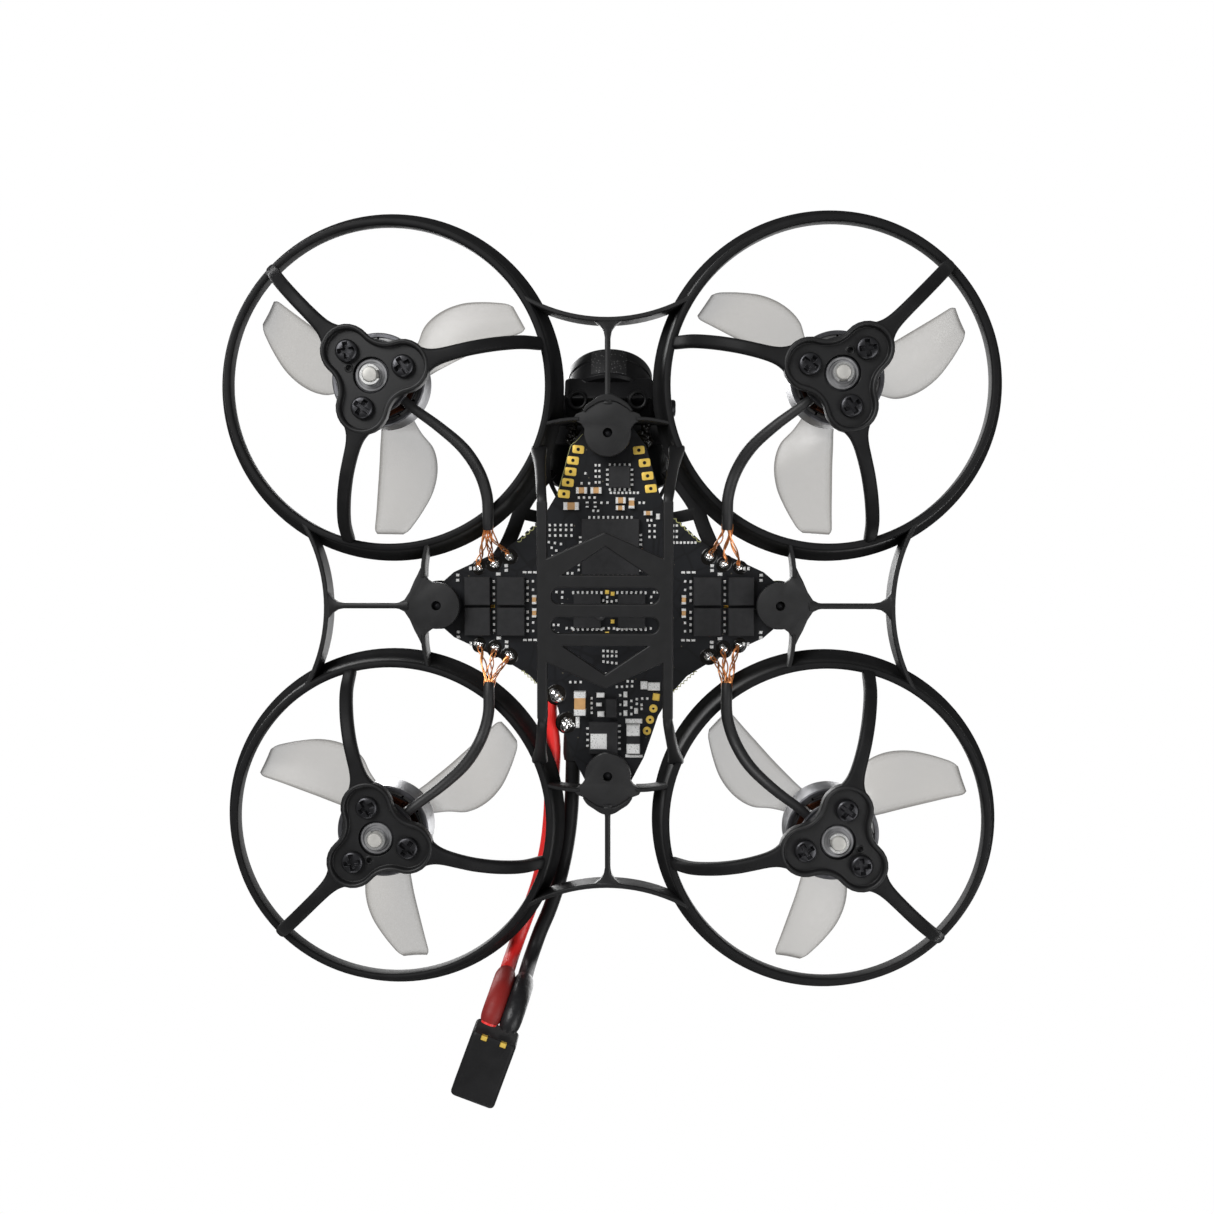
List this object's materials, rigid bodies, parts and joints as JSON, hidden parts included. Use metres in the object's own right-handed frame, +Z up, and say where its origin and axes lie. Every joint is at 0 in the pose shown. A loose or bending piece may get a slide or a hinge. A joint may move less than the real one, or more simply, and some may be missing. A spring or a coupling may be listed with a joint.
{
  "type": "mini palm drone",
  "caption": "Small ducted quadcopter with open-bottomed battery tray, tri-blade propellers, tilting camera under a canopy, and a two-wire battery lead ending in a plug.",
  "frame": {"origin": "on the underside of the battery tray, midway between the four rotor axes", "axes": "+Z up out of the top of the ducts, -Y the way the camera looks, +X to the drone's left side"},
  "size_m": [0.0826, 0.0909, 0.026],
  "materials": {
    "frame_plastic": "satin moulded black",
    "canopy_plastic": "satin moulded black",
    "motor_base": "black anodised",
    "motor_bell": "dark grey, satin",
    "copper": "enamelled copper windings",
    "steel": "bright ground steel",
    "black_screw": "black oxide",
    "propeller": "smoky translucent",
    "circuit_board": "black solder mask",
    "damper_rubber": "soft black rubber",
    "camera_plastic": "satin black",
    "lens_glass": "polished",
    "motor_lead_sleeve": "black woven sleeve",
    "ribbon": "flat flexible cable",
    "antenna_wire": "black insulation",
    "red_silicone": "matt silicone",
    "black_silicone": "matt silicone",
    "plug_plastic": "black nylon"
  },
  "bodies": {
    "airframe": {"frame": "frame_plastic", "motor_base_front_right": "motor_base", "stator_front_right": "copper", "motor_screw_front_right_1": "black_screw", "motor_screw_front_right_2": "black_screw", "motor_screw_front_right_3": "black_screw", "motor_base_front_left": "motor_base", "stator_front_left": "copper", "motor_screw_front_left_1": "black_screw", "motor_screw_front_left_2": "black_screw", "motor_screw_front_left_3": "black_screw", "motor_base_rear_right": "motor_base", "stator_rear_right": "copper", "motor_screw_rear_right_1": "black_screw", "motor_screw_rear_right_2": "black_screw", "motor_screw_rear_right_3": "black_screw", "motor_base_rear_left": "motor_base", "stator_rear_left": "copper", "motor_screw_rear_left_1": "black_screw", "motor_screw_rear_left_2": "black_screw", "motor_screw_rear_left_3": "black_screw", "flight_controller": "circuit_board", "damper_front": "damper_rubber", "board_screw_front": "black_screw", "damper_left": "damper_rubber", "board_screw_left": "black_screw", "damper_rear": "damper_rubber", "board_screw_rear": "black_screw", "damper_right": "damper_rubber", "board_screw_right": "black_screw", "camera_screw_left": "black_screw", "camera_screw_right": "black_screw", "canopy": "canopy_plastic", "motor_lead_front_right": "motor_lead_sleeve", "motor_lead_front_left": "motor_lead_sleeve", "motor_lead_rear_right": "motor_lead_sleeve", "motor_lead_rear_left": "motor_lead_sleeve", "camera_cable": "ribbon", "video_antenna": "antenna_wire", "power_lead_red": "red_silicone", "power_lead_black": "black_silicone", "power_plug": "plug_plastic"},
    "rotor_front_right": {"motor_bell_front_right": "motor_bell", "motor_shaft_front_right": "steel", "shaft_clip_front_right": "steel", "propeller_front_right": "propeller"},
    "rotor_front_left": {"motor_bell_front_left": "motor_bell", "motor_shaft_front_left": "steel", "shaft_clip_front_left": "steel", "propeller_front_left": "propeller"},
    "rotor_rear_right": {"motor_bell_rear_right": "motor_bell", "motor_shaft_rear_right": "steel", "shaft_clip_rear_right": "steel", "propeller_rear_right": "propeller"},
    "rotor_rear_left": {"motor_bell_rear_left": "motor_bell", "motor_shaft_rear_left": "steel", "shaft_clip_rear_left": "steel", "propeller_rear_left": "propeller"},
    "camera": {"camera_body": "camera_plastic", "camera_lens": "lens_glass"}
  },
  "joints": [
    {"name": "spin_front_right", "type": "hinge", "parent": "airframe", "child": "rotor_front_right", "pos_m": [-0.02298, -0.02298, 0.0115], "axis": [0, 0, 1], "continuous": true},
    {"name": "spin_front_left", "type": "hinge", "parent": "airframe", "child": "rotor_front_left", "pos_m": [0.02298, -0.02298, 0.0115], "axis": [0, 0, 1], "continuous": true},
    {"name": "spin_rear_right", "type": "hinge", "parent": "airframe", "child": "rotor_rear_right", "pos_m": [-0.02298, 0.02298, 0.0115], "axis": [0, 0, 1], "continuous": true},
    {"name": "spin_rear_left", "type": "hinge", "parent": "airframe", "child": "rotor_rear_left", "pos_m": [0.02298, 0.02298, 0.0115], "axis": [0, 0, 1], "continuous": true},
    {"name": "camera_tilt", "type": "hinge", "parent": "airframe", "child": "camera", "pos_m": [0, -0.02137, 0.01667], "axis": [1, 0, 0], "range_deg": [-15, 15]}
  ]
}
